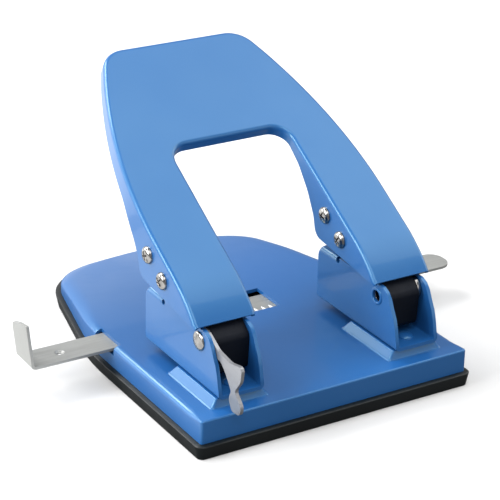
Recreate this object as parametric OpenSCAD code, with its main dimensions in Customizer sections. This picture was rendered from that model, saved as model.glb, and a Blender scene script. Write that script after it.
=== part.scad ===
// Heavy-duty two-hole desk punch.
// Millimetres. +Z is up, -Y is the flat front edge, +Y is the rounded rear where the paper lies.
// The origin is the centre of the face that it rests on.

/* [Base] */
// Half the width of the steel base
base_half_w = 60.5; // [58:0.5:64]
// Distance from the origin to the base's front edge
base_front = 78.5; // [77:0.5:82]
// Distance from the origin to the base's rear edge
base_rear = 79.5; // [76:0.5:84]
// Height of the base's top face above the desk
base_top = 15.5; // [15:0.1:16]
// Height of the base's lower edge, where the tray's rim begins
rim_z = 6; // [5:0.1:7]
// Sheet thickness of the base, towers and handle
sheet = 1.5; // [1.2:0.1:1.6]
// Radius of the camber that lowers the rear of the base
camber_r = 490; // [450:10:600]

/* [Towers] */
// Distance between the two holes
hole_pitch = 80; // [78:1:82]
// Outer width of a tower
tower_w = 19.7; // [19.4:0.1:20]
// Height of the raised pad under a tower
pad_h = 3.5; // [3.3:0.1:3.7]
// Height of the tower's top above the desk
tower_top = 42.6; // [42:0.1:43]

/* [Punches] */
// Radius of a punch
punch_r = 3; // [2.5:0.1:3.2]
// Height of a punch's cutting edge when the handle is up
punch_tip = 20; // [19.9:0.1:20.3]
// Y place of both punches
punch_y = -26.5; // [-27:0.5:-26]

/* [Handle] */
// Slope of the handle's main plate when it is up
handle_slope = 30.25; // [29:0.25:31]
// Half the width of the handle across the arms
handle_half_w = 53.4; // [53.2:0.1:53.6]
// Half the width of the gap between the arms
gap_half_w = 26.9; // [26.8:0.1:27.1]
// Length of the straight main plate
handle_len = 113; // [106:0.5:116]

/* [Paper guide] */
// Left end of the guide strip
guide_left = -95; // [-98:0.5:-90]
// Right end of the guide strip
guide_right = 107; // [100:0.5:110]
// Width of the guide strip
guide_w = 14; // [13.5:0.5:14.5]

/* [Hidden] */
$fn = 64;

blue = [0.24, 0.47, 0.80];
dark_steel = [0.10, 0.10, 0.11];
bright_steel = [0.78, 0.78, 0.76];
black_plastic = [0.05, 0.05, 0.06];

eps = 0.01;
fit_gap = 0.05;
tower_x = hole_pitch / 2;
lever_x = tower_x - 1;
wall_out = tower_w / 2;
wall_in = wall_out - sheet;
tower_floor = base_top + pad_h;
tower_front = -72.8;
tower_rear = -16;
tab_front = -31;
pivot_y = -58;
pivot_z = 37.3;
pin_r = 3;
camber_y = 3;
camber_fn = 720;

// Point list of an arc about c
function arc(c, r, a0, sweep, n) = [for (i = [0:n]) c + r * [cos(a0 + sweep * i / n), sin(a0 + sweep * i / n)]];

// Angle brought into -180..180
function wrap(a) = (a + 540) % 360 - 180;

// Corner b between a and c, rounded to radius r
function corner(a, b, c, r, n) =
    let (u = (a - b) / norm(a - b), v = (c - b) / norm(c - b), half = acos(u * v) / 2,
         o = b + (u + v) / norm(u + v) * r / sin(half),
         p = b + u * r / tan(half) - o, q = b + v * r / tan(half) - o, a0 = atan2(p.y, p.x))
    arc(o, r, a0, wrap(atan2(q.y, q.x) - a0), n);

// Closed outline through [x, y, radius] corners; a radius of 0 stays sharp
function rounded(c, n = 6) = [for (i = [0:len(c) - 1])
    let (k = len(c), a = c[(i + k - 1) % k], b = c[i], d = c[(i + 1) % k])
    each b[2] == 0 ? [[b.x, b.y]] : corner([a.x, a.y], [b.x, b.y], [d.x, d.y], b[2], n)];

// A shape drawn in Y and Z, drawn out along X from x0 to x1
module side_slab(x0, x1) {
    translate([x0, 0, 0]) rotate([90, 0, 90]) linear_extrude(x1 - x0) children();
}

// A cylinder along X
module rod_x(x0, x1, y, z, r) {
    translate([x0, y, z]) rotate([0, 90, 0]) cylinder(h = x1 - x0, r = r);
}

// The same shape at the left and at the right of the middle plane
module both_sides() {
    children();
    mirror([1, 0, 0]) children();
}

// ---- Base and tray ----

side_bend_y = 12;
side_bend_r = 120;
rear_half_w = 45;
rear_corner_r = 24;
front_corner_r = 1.2;
crown = 1.5;
tray_floor = 1.6;
tray_fit = 0.35;
lip_inset = 3.4;

// Plan outline of the base, grown by g all round
function plan(g) = rounded([
    [base_half_w + g, -base_front - g, front_corner_r + max(g, -1)],
    [base_half_w + g, side_bend_y, side_bend_r],
    [rear_half_w + g, base_rear - crown + g, rear_corner_r + g],
    [0, base_rear + g, 400],
    [-rear_half_w - g, base_rear - crown + g, rear_corner_r + g],
    [-base_half_w - g, side_bend_y, side_bend_r],
    [-base_half_w - g, -base_front - g, front_corner_r + max(g, -1)]]);

// Everything below the base's cambered top, moved down by drop
module under_camber(drop) {
    top = base_top - drop;
    side_slab(-100, 100) {
        translate([-100, 0]) square([100 + camber_y + eps, top]);
        intersection() {
            translate([camber_y, top - camber_r]) circle(r = camber_r, $fn = camber_fn);
            translate([camber_y, 0]) square([100, top]);
        }
    }
}

// Block with the base's outline grown by g, from z0 up to the camber lowered by drop
module base_block(g, z0, drop) {
    intersection() {
        translate([0, 0, z0]) linear_extrude(base_top - z0) polygon(plan(g));
        under_camber(drop);
    }
}

pad_front = -72.2;
pad_rear = -38.5;
pad_foot = 12.5;
pad_slope = 2.4;
pad_front_slope = 1.2;
pad_rear_slope = 2.6;

// Raised pad with sloped sides; its skin is inset by t for the hollow underneath
module pad_block(t) {
    z0 = base_top - sheet - t;
    z1 = tower_floor - t;
    intersection() {
        translate([tower_x, -30, 0]) rotate([90, 0, 0]) linear_extrude(60)
            polygon([[-pad_foot + t, z0], [pad_foot - t, z0], [pad_foot - t, base_top - t],
                     [pad_foot - pad_slope - t, z1], [-pad_foot + pad_slope + t, z1], [-pad_foot + t, base_top - t]]);
        side_slab(0, 100) polygon([[pad_front + t, z0], [pad_front + t, base_top - t],
                                   [pad_front + pad_front_slope + t, z1], [pad_rear - pad_rear_slope - t, z1],
                                   [pad_rear - t, base_top - t], [pad_rear - t, z0]]);
    }
}

window_half_w = 17.1;
window_y = [-8.8, 9.6];
notch_y = [-9, 7.5];
notch_depth = 3.2;
notch_z = 11.4;
rivet_ys = [-65, -48];
rivet_r = 2;

module base_plate() {
    color(blue) difference() {
        union() {
            difference() {
                base_block(0, rim_z, 0);
                base_block(-sheet, rim_z - 1, sheet);
            }
            both_sides() difference() {
                pad_block(0);
                pad_block(sheet);
            }
        }
        // Under each pad the flat sheet is open
        both_sides() intersection() {
            pad_block(sheet);
            translate([0, -100, base_top - 2 * sheet]) cube([100, 100, pad_h + sheet]);
        }
        translate([-window_half_w, window_y[0], base_top - 2 * sheet])
            cube([2 * window_half_w, window_y[1] - window_y[0], 3 * sheet]);
        both_sides() {
            translate([base_half_w - notch_depth, notch_y[0], notch_z])
                cube([2 * notch_depth, notch_y[1] - notch_y[0], base_top]);
            translate([tower_x, punch_y, 0]) cylinder(h = 30, r = punch_r + 0.3);
            for (y = rivet_ys) translate([tower_x, y, 0]) cylinder(h = 30, r = rivet_r);
        }
    }
}

module chip_tray() {
    body_grow = 1.4;
    rim_grow = 2.3;
    rim_low = 3.2;
    rim_top = rim_z - fit_gap;
    color(black_plastic) difference() {
        union() {
            linear_extrude(rim_low + eps) polygon(plan(body_grow));
            translate([0, 0, rim_low]) linear_extrude(rim_top - rim_low) polygon(plan(rim_grow));
            // Lip that snaps inside the base's wall
            intersection() {
                translate([0, 0, rim_low]) linear_extrude(rim_z - rim_low + 3) polygon(plan(-sheet - tray_fit));
                under_camber(2 * sheet);
            }
        }
        translate([0, 0, tray_floor]) linear_extrude(base_top) polygon(plan(-lip_inset));
    }
}

// ---- Towers ----

// Side outline of a tower wall in Y and Z
function tower_side() = rounded([
    [tower_rear, tower_floor, 0],
    [tower_rear, tower_top, 2],
    [-61.6, tower_top, 2.5],
    [-69.2, 33.5, 30],
    [tower_front, tower_floor, 0]]);

module right_tower_shape() {
    relief_r = 1.4;
    bend_r = 2;
    ring_h = 0.4;
    difference() {
        union() {
            intersection() {
                side_slab(tower_x - wall_out, tower_x + wall_out) polygon(tower_side());
                // Round bends between the floor and the walls
                translate([tower_x, 0, 0]) rotate([90, 0, 0]) linear_extrude(100) polygon(rounded([
                    [-wall_out, tower_floor, bend_r], [wall_out, tower_floor, bend_r],
                    [wall_out, tower_top + 1, 0], [-wall_out, tower_top + 1, 0]]));
            }
            // Raised ring round the pivot hole on the inner wall
            rod_x(tower_x - wall_out - ring_h, tower_x - wall_out + 0.5, pivot_y, pivot_z, pin_r + 0.7);
        }
        // Channel between the walls, open at the front and at the rear
        side_slab(tower_x - wall_in, tower_x + wall_in)
            polygon([[tower_front - 1, tower_floor + sheet], [tower_rear + 1, tower_floor + sheet],
                     [tower_rear + 1, tower_top - sheet], [tab_front, tower_top - sheet],
                     [tab_front, tower_top + 1], [tower_front - 1, tower_top + 1]]);
        rod_x(tower_x - tower_w, tower_x + tower_w, pivot_y, pivot_z, pin_r);
        rod_x(tower_x - tower_w, tower_x + tower_w, -30, tower_top - 0.9, relief_r);
        translate([tower_x, punch_y, 0]) cylinder(h = 60, r = punch_r + fit_gap);
        for (y = rivet_ys) translate([tower_x, y, 0]) cylinder(h = 60, r = rivet_r);
    }
}

module right_tower() { color(blue) right_tower_shape(); }
module left_tower() { color(blue) mirror([1, 0, 0]) right_tower_shape(); }

module tower_rivets() {
    head_r = 3.2;
    head_h = 1.2;
    ball_r = (head_r * head_r + head_h * head_h) / (2 * head_h);
    color(blue) both_sides() for (y = rivet_ys) translate([tower_x, y, tower_floor]) {
        translate([0, 0, -sheet]) cylinder(h = 2 * sheet, r = rivet_r);
        translate([0, 0, -sheet - 0.8]) cylinder(h = 0.8, r = rivet_r + 0.25);
        translate([0, 0, sheet]) intersection() {
            translate([0, 0, head_h - ball_r]) sphere(r = ball_r);
            cylinder(h = head_h, r = head_r);
        }
    }
}

// ---- Punches ----

die_depth = 4.5;
head_top = 58.4;
head_r = 5;
head_ball_r = 7.9;
head_under = 53.6;
clip_h = 1;
clip_top = tower_top - sheet - 0.2;
spring_mean_r = 4.2;
wire_r = 0.5;
spring_turns = 6;

module right_die() {
    color(dark_steel) translate([tower_x, punch_y, base_top - sheet - die_depth]) difference() {
        union() {
            cylinder(h = die_depth, r = 6);
            cylinder(h = 1.5, r = 7);
        }
        translate([0, 0, -1]) cylinder(h = die_depth + 2, r = punch_r + fit_gap);
    }
}
module left_die() { mirror([1, 0, 0]) right_die(); }

module right_punch() {
    color(bright_steel) translate([tower_x, punch_y, 0]) {
        difference() {
            translate([0, 0, punch_tip]) cylinder(h = head_under - punch_tip, r = punch_r);
            // Hollow-ground cutting end
            translate([0, 0, punch_tip - 3.4]) sphere(r = 4.2);
        }
        intersection() {
            translate([0, 0, head_under]) cylinder(h = head_top - head_under, r = head_r);
            translate([0, 0, head_top - head_ball_r]) sphere(r = head_ball_r);
        }
    }
}
module left_punch() { mirror([1, 0, 0]) right_punch(); }

module right_punch_clip() {
    color(dark_steel) translate([tower_x, punch_y, clip_top - clip_h]) difference() {
        cylinder(h = clip_h, r = 5.2);
        translate([0, 0, -1]) cylinder(h = clip_h + 2, r = punch_r);
    }
}
module left_punch_clip() { mirror([1, 0, 0]) right_punch_clip(); }

// Compression spring of round wire: a helix whose end turns lie flat
module return_spring() {
    z0 = tower_floor + sheet + wire_r;
    z1 = clip_top - clip_h - wire_r;
    rings = spring_turns * 16;
    sides = 8;
    ring_angle = 360 / 16;
    closed = 14;
    function rise(i) = min(max((i - closed) / (rings - 2 * closed), 0), 1);
    function seat(i) = i < closed ? 2 * wire_r * i / closed : 2 * wire_r;
    function unseat(i) = i > rings - closed ? 2 * wire_r * (i - rings + closed) / closed : 0;
    function height(i) = z0 + seat(i) + unseat(i) + rise(i) * (z1 - z0 - 4 * wire_r);
    points = [for (i = [0:rings], k = [0:sides - 1])
        let (a = i * ring_angle, b = k * 360 / sides, r = spring_mean_r + wire_r * cos(b))
        [r * cos(a), r * sin(a), height(i) + wire_r * sin(b)]];
    faces = concat(
        [[for (k = [0:sides - 1]) k]],
        [for (i = [0:rings - 1], k = [0:sides - 1])
            let (n = (k + 1) % sides, a = i * sides, b = a + sides) [a + k, b + k, b + n, a + n]],
        [[for (k = [sides - 1:-1:0]) rings * sides + k]]);
    color(bright_steel) translate([tower_x, punch_y, 0]) polyhedron(points, faces, convexity = 10);
}
module right_return_spring() { return_spring(); }
module left_return_spring() { translate([-2 * tower_x, 0, 0]) return_spring(); }

// ---- Handle ----

arm_len = 20.5;
arm_bend_r = 60;
plate_y = -44.9;
plate_z = 57.8;
top_corner_r = 12;
rim_depth = 5.6;
gap_top = 60.4;
gap_corner_r = 8;
taper_from = 20;
screw_r = 1.75;
screw_places = [[-24.7, 59.8], [-36, 53.5]];
cheek = 1.4;

// Half width of the handle at s along its plate: straight arms that draw in towards the top
function half_w(s) = handle_half_w - 21.4 * pow(max(s - taper_from, 0) / (handle_len - taper_from), 2);

// The handle's own frame: X across, Y along the main plate from the bend, Z out of its face
module handle_frame() {
    translate([0, plate_y, plate_z]) rotate([handle_slope, 0, 0]) children();
}

// Right half of the handle's face outline, inset by t
function face_right(t) = concat(
    [[handle_half_w - t, -arm_len - 2]],
    [for (i = [0:12]) let (s = taper_from + i * (handle_len - 18 - taper_from) / 12) [half_w(s) - t, s]],
    corner([half_w(handle_len - 14) - t, handle_len - 14], [half_w(handle_len) - t, handle_len - t],
           [0, handle_len - t], top_corner_r - t, 6));

// Face outline of the handle: the right half, then its mirror image
function face(t) =
    let (r = face_right(t)) concat(r, [for (i = [len(r) - 1:-1:0]) [-r[i].x, r[i].y]]);

// Outline of the open gap between the arms, grown by t
function gap(t) = rounded([
    [-gap_half_w - t, -arm_len - 5, 0],
    [-gap_half_w - t, gap_top + t, gap_corner_r + t],
    [gap_half_w + t, gap_top + t, gap_corner_r + t],
    [gap_half_w + t, -arm_len - 5, 0]]);

// Centre line of the plate's side view, lowered by t: an arc along the arm, then straight
function plate_side(t) = concat(
    arc([0, -arm_bend_r], arm_bend_r - t, 90 + asin(arm_len / arm_bend_r), -asin(arm_len / arm_bend_r), 8),
    [[handle_len + 1, -t]]);

// Flange edge in side view; the outer flange is deeper along the middle than the inner one
function flange_edge(outer) = rounded(concat(
    [[handle_len + 1, -rim_depth, 0]],
    outer ? [[46, -8.5, 30], [25, -14.4, 25]]
          : [[54, -5, 30], [44, -6.2, 20], [33, -10.4, 20], [24, -15.8, 15]],
    [[18.5, -21.6, 5], [-arm_len - 0.7, -4.6, 0]]));

// Everything between the plate's face lowered by t and the flange edges, from x0 to x1
module flange_band(outer, x0, x1) {
    side_slab(x0, x1) polygon(concat(plate_side(0), flange_edge(outer)));
}

module handle_solid() {
    split = (handle_half_w + gap_half_w) / 2;
    intersection() {
        translate([0, 0, -40]) linear_extrude(60) difference() {
            polygon(face(0));
            polygon(gap(0));
        }
        union() {
            flange_band(false, -split, split);
            both_sides() flange_band(true, split, handle_half_w + 1);
        }
    }
}

module handle_hollow() {
    intersection() {
        translate([0, 0, -40]) linear_extrude(60) difference() {
            polygon(concat([[handle_half_w - sheet, -arm_len - 9]], face(sheet),
                           [[-handle_half_w + sheet, -arm_len - 9]]));
            polygon(gap(sheet));
        }
        side_slab(-60, 60) polygon(concat([[-arm_len - 12, -40]], [[-arm_len - 12, -10]],
            [[-arm_len - 0.6, -5.2]], plate_side(sheet), [[handle_len + 1, -40]]));
    }
}

// The eight screw holes or screws: through both flanges of both arms
module at_screws() {
    both_sides() for (p = screw_places) {
        translate([handle_half_w, p[0], p[1]]) rotate([0, 90, 0]) children();
        translate([gap_half_w, p[0], p[1]]) rotate([0, -90, 0]) children();
    }
}

module handle() {
    color(blue) difference() {
        handle_frame() difference() {
            handle_solid();
            handle_hollow();
        }
        at_screws() translate([0, 0, -sheet - 1]) cylinder(h = sheet + 2, r = screw_r);
    }
}

module handle_screws() {
    head_w = 3.5;
    head_h = 2;
    ball_r = (head_w * head_w + head_h * head_h) / (2 * head_h);
    color(bright_steel) at_screws() difference() {
        union() {
            translate([0, 0, -sheet - cheek - 0.1]) cylinder(h = sheet + cheek + 0.2, r = screw_r);
            intersection() {
                translate([0, 0, head_h - ball_r]) sphere(r = ball_r);
                cylinder(h = head_h, r = head_w);
            }
        }
        // Cross recess
        for (a = [0, 90]) rotate([0, 0, 45 + a]) translate([-1.9, -0.4, 0.8]) cube([3.8, 0.8, 2]);
    }
}

// ---- Press levers ----

block_half_w = 7.2;
narrow_cheek = 2.5;
bar_under = 58.5;
bar_h = 3;
web = 2;
web_gap = 0.2;

// Side view of the lever's narrow cheeks, from the pivot up to the web
function cheek_side() = rounded([
    [-63.4, 24, 2.5], [-52.4, 22.2, 2.5], [-50.6, 33, 4], [-43, 41.5, 4], [-37, 50, 4],
    [-35.5, bar_under, 1], [-19.5, bar_under, 1], [-19.5, 69, 0], [-41.5, 56.4, 20],
    [-58.8, 42.4, 2], [-64.2, 38.5, 3]]);

module right_press_lever() {
    under = sheet + web_gap;
    x0 = lever_x - block_half_w;
    x1 = lever_x + block_half_w;
    wide0 = gap_half_w + sheet + fit_gap;
    wide1 = handle_half_w - sheet - 0.35;
    thin_cheek = wide1 - tower_x - wall_out - 0.2;
    color(dark_steel) difference() {
        union() {
            side_slab(x0, x0 + narrow_cheek) polygon(cheek_side());
            side_slab(x1 - narrow_cheek, x1) polygon(cheek_side());
            // Solid front round the pivot, which faces out of the tower
            intersection() {
                side_slab(x0, x1) polygon(cheek_side());
                side_slab(x0, x1) polygon([[-70, 20], [-52, 20], [-52, 40], [-54, 46], [-70, 46]]);
            }
            // Bar that presses the punch's head
            side_slab(x0, x1) translate([-35.5, bar_under]) square([16, bar_h]);
            handle_frame() {
                // Web under the arm's plate, and the wide cheeks that take the screws
                side_slab(wide0, wide1) polygon(concat(
                    [for (p = plate_side(under)) if (p.x > -14 && p.x < 1) p], [[24, -under]],
                    [[24, -under - web]], [[-13, -under - web - 1.6]]));
                for (x = [[wide0, wide0 + cheek], [wide1 - thin_cheek, wide1]]) side_slab(x[0], x[1])
                    polygon(rounded([[-5, -under, 0], [24, -under, 0], [24, -13, 4], [14, -14, 4],
                                     [3, -8.6, 4]]));
            }
        }
        rod_x(x0 - 1, x1 + 1, pivot_y, pivot_z, pin_r + fit_gap);
        at_screws() translate([0, 0, -sheet - cheek - 1]) cylinder(h = 5, r = screw_r);
    }
}
module left_press_lever() { mirror([1, 0, 0]) right_press_lever(); }

// ---- Pivots ----

// Pin with a domed head on the outer wall; its hollow end lies back in the inner wall's ring
module right_pivot_pin() {
    head_r = 3.9;
    head_h = 1.5;
    ball_r = (head_r * head_r + head_h * head_h) / (2 * head_h);
    x_in = tower_x - wall_out;
    x_out = tower_x + wall_out;
    color(bright_steel) difference() {
        union() {
            rod_x(x_in + 0.4, x_out, pivot_y, pivot_z, pin_r);
            translate([x_out, pivot_y, pivot_z]) rotate([0, 90, 0]) intersection() {
                translate([0, 0, head_h - ball_r]) sphere(r = ball_r);
                cylinder(h = head_h, r = head_r);
            }
        }
        rod_x(x_in - 2, x_in + 8, pivot_y, pivot_z, pin_r - 0.7);
    }
}
module left_pivot_pin() { mirror([1, 0, 0]) right_pivot_pin(); }

// Gap beside the lever: the lock lever fills it on the left, this ring on the right
side_gap0 = lever_x + block_half_w + 0.15;
side_gap1 = tower_x + wall_in - 0.15;

module pivot_spacer() {
    color(bright_steel) difference() {
        rod_x(side_gap0, side_gap1, pivot_y, pivot_z, 5);
        rod_x(side_gap0 - 1, side_gap1 + 1, pivot_y, pivot_z, pin_r + fit_gap);
    }
}

module lock_lever() {
    color(bright_steel) difference() {
        side_slab(-side_gap1, -side_gap0) polygon(rounded([
            [-52.6, 31.6, 5], [-52.6, 42.3, 5], [-60.6, 41.7, 4], [-68.5, 37.5, 8],
            [-77.5, 36.3, 8], [-86, 38.2, 1.8], [-85, 31.5, 6], [-81.3, 26.2, 4], [-86.2, 21.5, 4],
            [-84.8, 17.6, 2.2], [-78.6, 17, 2.2], [-76, 21.6, 3], [-77.9, 25.3, 3], [-74.2, 31, 12],
            [-70.2, 34.4, 3], [-63, 31.6, 6]]));
        rod_x(-60, -40, pivot_y, pivot_z, pin_r + fit_gap);
    }
}

// ---- Paper guide ----

guide_t = 1.3;
guide_z = base_top - sheet - 0.1 - guide_t;
guide_y = -7.4;
tab_lean = 6;
tab_h = 19.6;
strap_drop = 1.1;
strap_x = [-34, 26];
strap_w = 8;

// Side view of the guide in X and Z: the strip, bent up at its left end
function guide_side() =
    let (top = guide_z + tab_h + 3, far = guide_left - (tab_h + 3) * tan(tab_lean),
         across = guide_t / cos(tab_lean))
    rounded([
        [guide_right + 1, guide_z, 0], [guide_right + 1, guide_z + guide_t, 0],
        [guide_left + across - guide_t * tan(tab_lean), guide_z + guide_t, 0.9],
        [far + across, top, 0], [far, top, 0], [guide_left, guide_z, 0.9 + guide_t]]);

module paper_guide() {
    y1 = guide_y + guide_w;
    tab_top = guide_z + tab_h;
    color(bright_steel) difference() {
        intersection() {
            translate([0, y1, 0]) rotate([90, 0, 0]) linear_extrude(guide_w) polygon(guide_side());
            // Rounded right end
            linear_extrude(60) polygon(rounded([
                [guide_left - 9, guide_y - 1, 0], [guide_right, guide_y - 1, 6],
                [guide_right, y1 + 1, 6], [guide_left - 9, y1 + 1, 0]]));
            // The stop's top edge falls to the rear
            side_slab(-120, 120) polygon(rounded([
                [guide_y - 1, 0, 0], [guide_y - 1, tab_top, 0], [guide_y + guide_w * 0.5, tab_top - 1.2, 12],
                [y1, tab_top - 3.8, 2.5], [y1, 0, 0]]));
        }
        // Countersunk locating hole, and the notches along the front edge that mark the paper sizes
        translate([-80, guide_y + 6.9, 0]) cylinder(h = 30, r = 0.8);
        translate([-80, guide_y + 6.9, guide_z + guide_t - 0.9]) cylinder(h = 1, r1 = 0.8, r2 = 2.1);
        for (x = [-16:4:24]) translate([x, guide_y, 0]) rotate([0, 0, 45]) cube([1.2, 1.2, 60], center = true);
    }
}

module guide_straps() {
    z0 = guide_z - strap_drop;
    y0 = guide_y - 0.3;
    y1 = guide_y + guide_w + 0.3;
    color(dark_steel) intersection() {
        for (x = strap_x) side_slab(x, x + strap_w) polygon([
            [y0 - 5, base_top - sheet], [y0 - 5, base_top - sheet - 1], [y0 - 1, base_top - sheet - 1],
            [y0 - 1, z0 - 1], [y1 + 1, z0 - 1], [y1 + 1, base_top - sheet - 1],
            [y1 + 5, base_top - sheet - 1], [y1 + 5, base_top - sheet], [y1, base_top - sheet],
            [y1, z0], [y0, z0], [y0, base_top - sheet]]);
        under_camber(sheet);
    }
}

// Bowed blade that lies in the left strap and bears on the guide from below
module guide_leaf_spring() {
    x0 = strap_x[0] - 4;
    length = strap_w + 8;
    bow_r = 60;
    color(bright_steel) translate([0, guide_y + guide_w / 2 + 4, 0]) rotate([90, 0, 0]) linear_extrude(8)
        intersection() {
            translate([x0 + length / 2, guide_z - 0.1 - bow_r]) difference() {
                circle(r = bow_r, $fn = 360);
                circle(r = bow_r - 0.4, $fn = 360);
            }
            translate([x0, guide_z - 2]) square([length, 3]);
        }
}

base_plate();
chip_tray();
left_tower();
right_tower();
tower_rivets();
left_die();
right_die();
left_punch();
right_punch();
left_punch_clip();
right_punch_clip();
left_return_spring();
right_return_spring();
left_press_lever();
right_press_lever();
left_pivot_pin();
right_pivot_pin();
pivot_spacer();
handle();
handle_screws();
lock_lever();
paper_guide();
guide_straps();
guide_leaf_spring();
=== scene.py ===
from math import acos, atan2, cos, hypot, pi, radians, sin, sqrt, tan

import bmesh
import bpy
from mathutils import Matrix, Vector


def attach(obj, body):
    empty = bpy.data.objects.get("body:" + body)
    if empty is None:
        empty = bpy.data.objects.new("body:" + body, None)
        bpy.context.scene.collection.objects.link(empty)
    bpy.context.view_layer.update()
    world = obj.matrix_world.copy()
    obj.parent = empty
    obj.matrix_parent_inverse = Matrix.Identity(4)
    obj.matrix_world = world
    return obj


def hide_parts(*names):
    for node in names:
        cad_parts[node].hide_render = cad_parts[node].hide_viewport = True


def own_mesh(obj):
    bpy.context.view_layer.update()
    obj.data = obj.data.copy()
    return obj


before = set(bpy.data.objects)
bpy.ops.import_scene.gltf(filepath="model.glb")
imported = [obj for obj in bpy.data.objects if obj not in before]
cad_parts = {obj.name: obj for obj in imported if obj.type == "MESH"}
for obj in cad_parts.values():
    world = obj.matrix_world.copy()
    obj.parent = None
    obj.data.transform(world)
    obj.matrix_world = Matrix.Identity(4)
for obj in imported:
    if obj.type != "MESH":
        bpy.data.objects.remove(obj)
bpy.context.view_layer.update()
scene = bpy.context.scene
MM = 0.001
WELD = 2e-6  # metres within which CAD vertices are one
FLAT = 0.6  # degrees within which CAD faces are one
SMOOTH = 32  # degrees below which an edge is shaded smooth
AXIS = 0.02  # innermost radius of a turned piece, so that its ends are small flat faces
SIDES = ((-1, "left"), (1, "right"))

# ---------------------------------------------------------------- curves and meshes, in millimetres


def ease(a, b, t):
    """0 below a, 1 above b, and smooth between them."""
    t = min(max((t - a) / (b - a), 0.0), 1.0)
    return t * t * (3 - 2 * t)


def fillet(a, b, c, r, n):
    """Corner b between a and c rounded to radius r, as n + 1 points."""
    a, b, c = Vector(a[:2]), Vector(b[:2]), Vector(c[:2])
    if r <= 0:
        return [tuple(b)] * (n + 1)
    u, v = (a - b).normalized(), (c - b).normalized()
    half = acos(max(-1.0, min(1.0, u.dot(v)))) / 2
    o = b + (u + v).normalized() * r / sin(half)
    p, q = b + u * r / tan(half) - o, b + v * r / tan(half) - o
    a0 = atan2(p.y, p.x)
    sweep = (atan2(q.y, q.x) - a0 + 3 * pi) % (2 * pi) - pi
    return [(o.x + r * cos(a0 + sweep * i / n), o.y + r * sin(a0 + sweep * i / n)) for i in range(n + 1)]


def rounded(corners, n, straight=None):
    """Closed outline through (x, y, radius) corners, n steps round each (one number, or one per corner).

    straight[i] cuts the side after corner i into that many steps.
    """
    out, k = [], len(corners)
    steps = n if isinstance(n, list) else [n] * k
    arcs = [fillet(corners[i - 1], corners[i], corners[(i + 1) % k], corners[i][2], steps[i])
            for i in range(k)]
    for i, arc in enumerate(arcs):
        out += arc if corners[i][2] > 0 else arc[:1]
        if straight:
            p, q = arc[-1], arcs[(i + 1) % k][0]
            for j in range(1, straight[i]):
                t = j / straight[i]
                out.append((p[0] + (q[0] - p[0]) * t, p[1] + (q[1] - p[1]) * t))
    return out


def resample(path, stations):
    """Points of an open path at fractions 0..1 of its length."""
    total = [0.0]
    for a, b in zip(path, path[1:]):
        total.append(total[-1] + hypot(b[0] - a[0], b[1] - a[1]))
    out, j = [], 0
    for f in stations:
        d = f * total[-1]
        while j < len(path) - 2 and total[j + 1] < d:
            j += 1
        t = (d - total[j]) / max(total[j + 1] - total[j], 1e-9)
        (x0, y0), (x1, y1) = path[j], path[j + 1]
        out.append((x0 + (x1 - x0) * t, y0 + (y1 - y0) * t))
    return out


def span(a, b, n):
    """n + 1 even steps from a to b."""
    return [a + (b - a) * i / n for i in range(n + 1)]


def at(path, x):
    """Second value of a polyline at first value x."""
    pts = sorted(path)
    for (x0, y0), (x1, y1) in zip(pts, pts[1:]):
        if x <= x1:
            return y0 + (y1 - y0) * max(x - x0, 0) / max(x1 - x0, 1e-9)
    return pts[-1][1]


def finish_mesh(bm, name, angle=SMOOTH):
    """A mesh with outward normals, smooth except at edges sharper than angle."""
    bmesh.ops.recalc_face_normals(bm, faces=bm.faces)
    mesh = bpy.data.meshes.new(name)
    bm.to_mesh(mesh)
    bm.free()
    mesh.polygons.foreach_set("use_smooth", [True] * len(mesh.polygons))
    mesh.set_sharp_from_angle(angle=radians(angle))
    return mesh


def build(verts, faces):
    """A bmesh from points in millimetres."""
    bm = bmesh.new()
    vs = [bm.verts.new([c * MM for c in v]) for v in verts]
    for f in faces:
        if len(set(f)) >= 3:
            bm.faces.new([vs[i] for i in f])
    return bm


def grid(columns):
    """Vertices and faces of a sheet given as equal columns of points."""
    h = len(columns[0])
    verts = [p for c in columns for p in c]
    faces = [(i * h + j, i * h + j + 1, (i + 1) * h + j + 1, (i + 1) * h + j)
             for i in range(len(columns) - 1) for j in range(h - 1)]
    return verts, faces


def loft(rings, caps=(True, True), closed=False):
    """Vertices and faces of a tube through equal closed rings; closed joins the last to the first."""
    n = len(rings[0])
    verts = [p for r in rings for p in r]
    faces = []
    for i in range(len(rings) if closed else len(rings) - 1):
        k = (i + 1) % len(rings)
        faces += [(i * n + j, i * n + (j + 1) % n, k * n + (j + 1) % n, k * n + j) for j in range(n)]
    if caps[0] and not closed:
        faces.append(tuple(range(n))[::-1])
    if caps[1] and not closed:
        faces.append(tuple(range((len(rings) - 1) * n, len(rings) * n)))
    return verts, faces


def circle(r, n):
    """n points round a circle."""
    return [(r * cos(2 * pi * k / n), r * sin(2 * pi * k / n)) for k in range(n)]


def lathe(profile, n=48):
    """Solid of revolution about Z from (radius, z) points, with flat ends."""
    return build(*loft([[(x, y, z) for x, y in circle(r, n)] for r, z in profile]))


def prism(outline, place, low, high):
    """An outline drawn out from low to high; place(u, v, w) gives the point."""
    return build(*loft([[place(u, v, w) for u, v in outline] for w in (low, high)]))


def moved(bm, x, y, z=0.0):
    """The bmesh shifted by millimetres."""
    bmesh.ops.translate(bm, vec=(x * MM, y * MM, z * MM), verts=bm.verts)
    return bm


def bevel_edges(bm, width, segments=2, angle=30):
    """Rounds every edge sharper than angle."""
    edges = [e for e in bm.edges if len(e.link_faces) == 2 and e.calc_face_angle(0) > radians(angle)]
    bmesh.ops.bevel(bm, geom=edges, offset=width * MM, segments=segments, profile=0.5, affect="EDGES",
                    clamp_overlap=True)
    return bm


def evaluated(obj):
    """A new mesh of the object with its modifiers run."""
    bpy.context.view_layer.update()
    return bpy.data.meshes.new_from_object(obj.evaluated_get(bpy.context.evaluated_depsgraph_get()))


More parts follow.
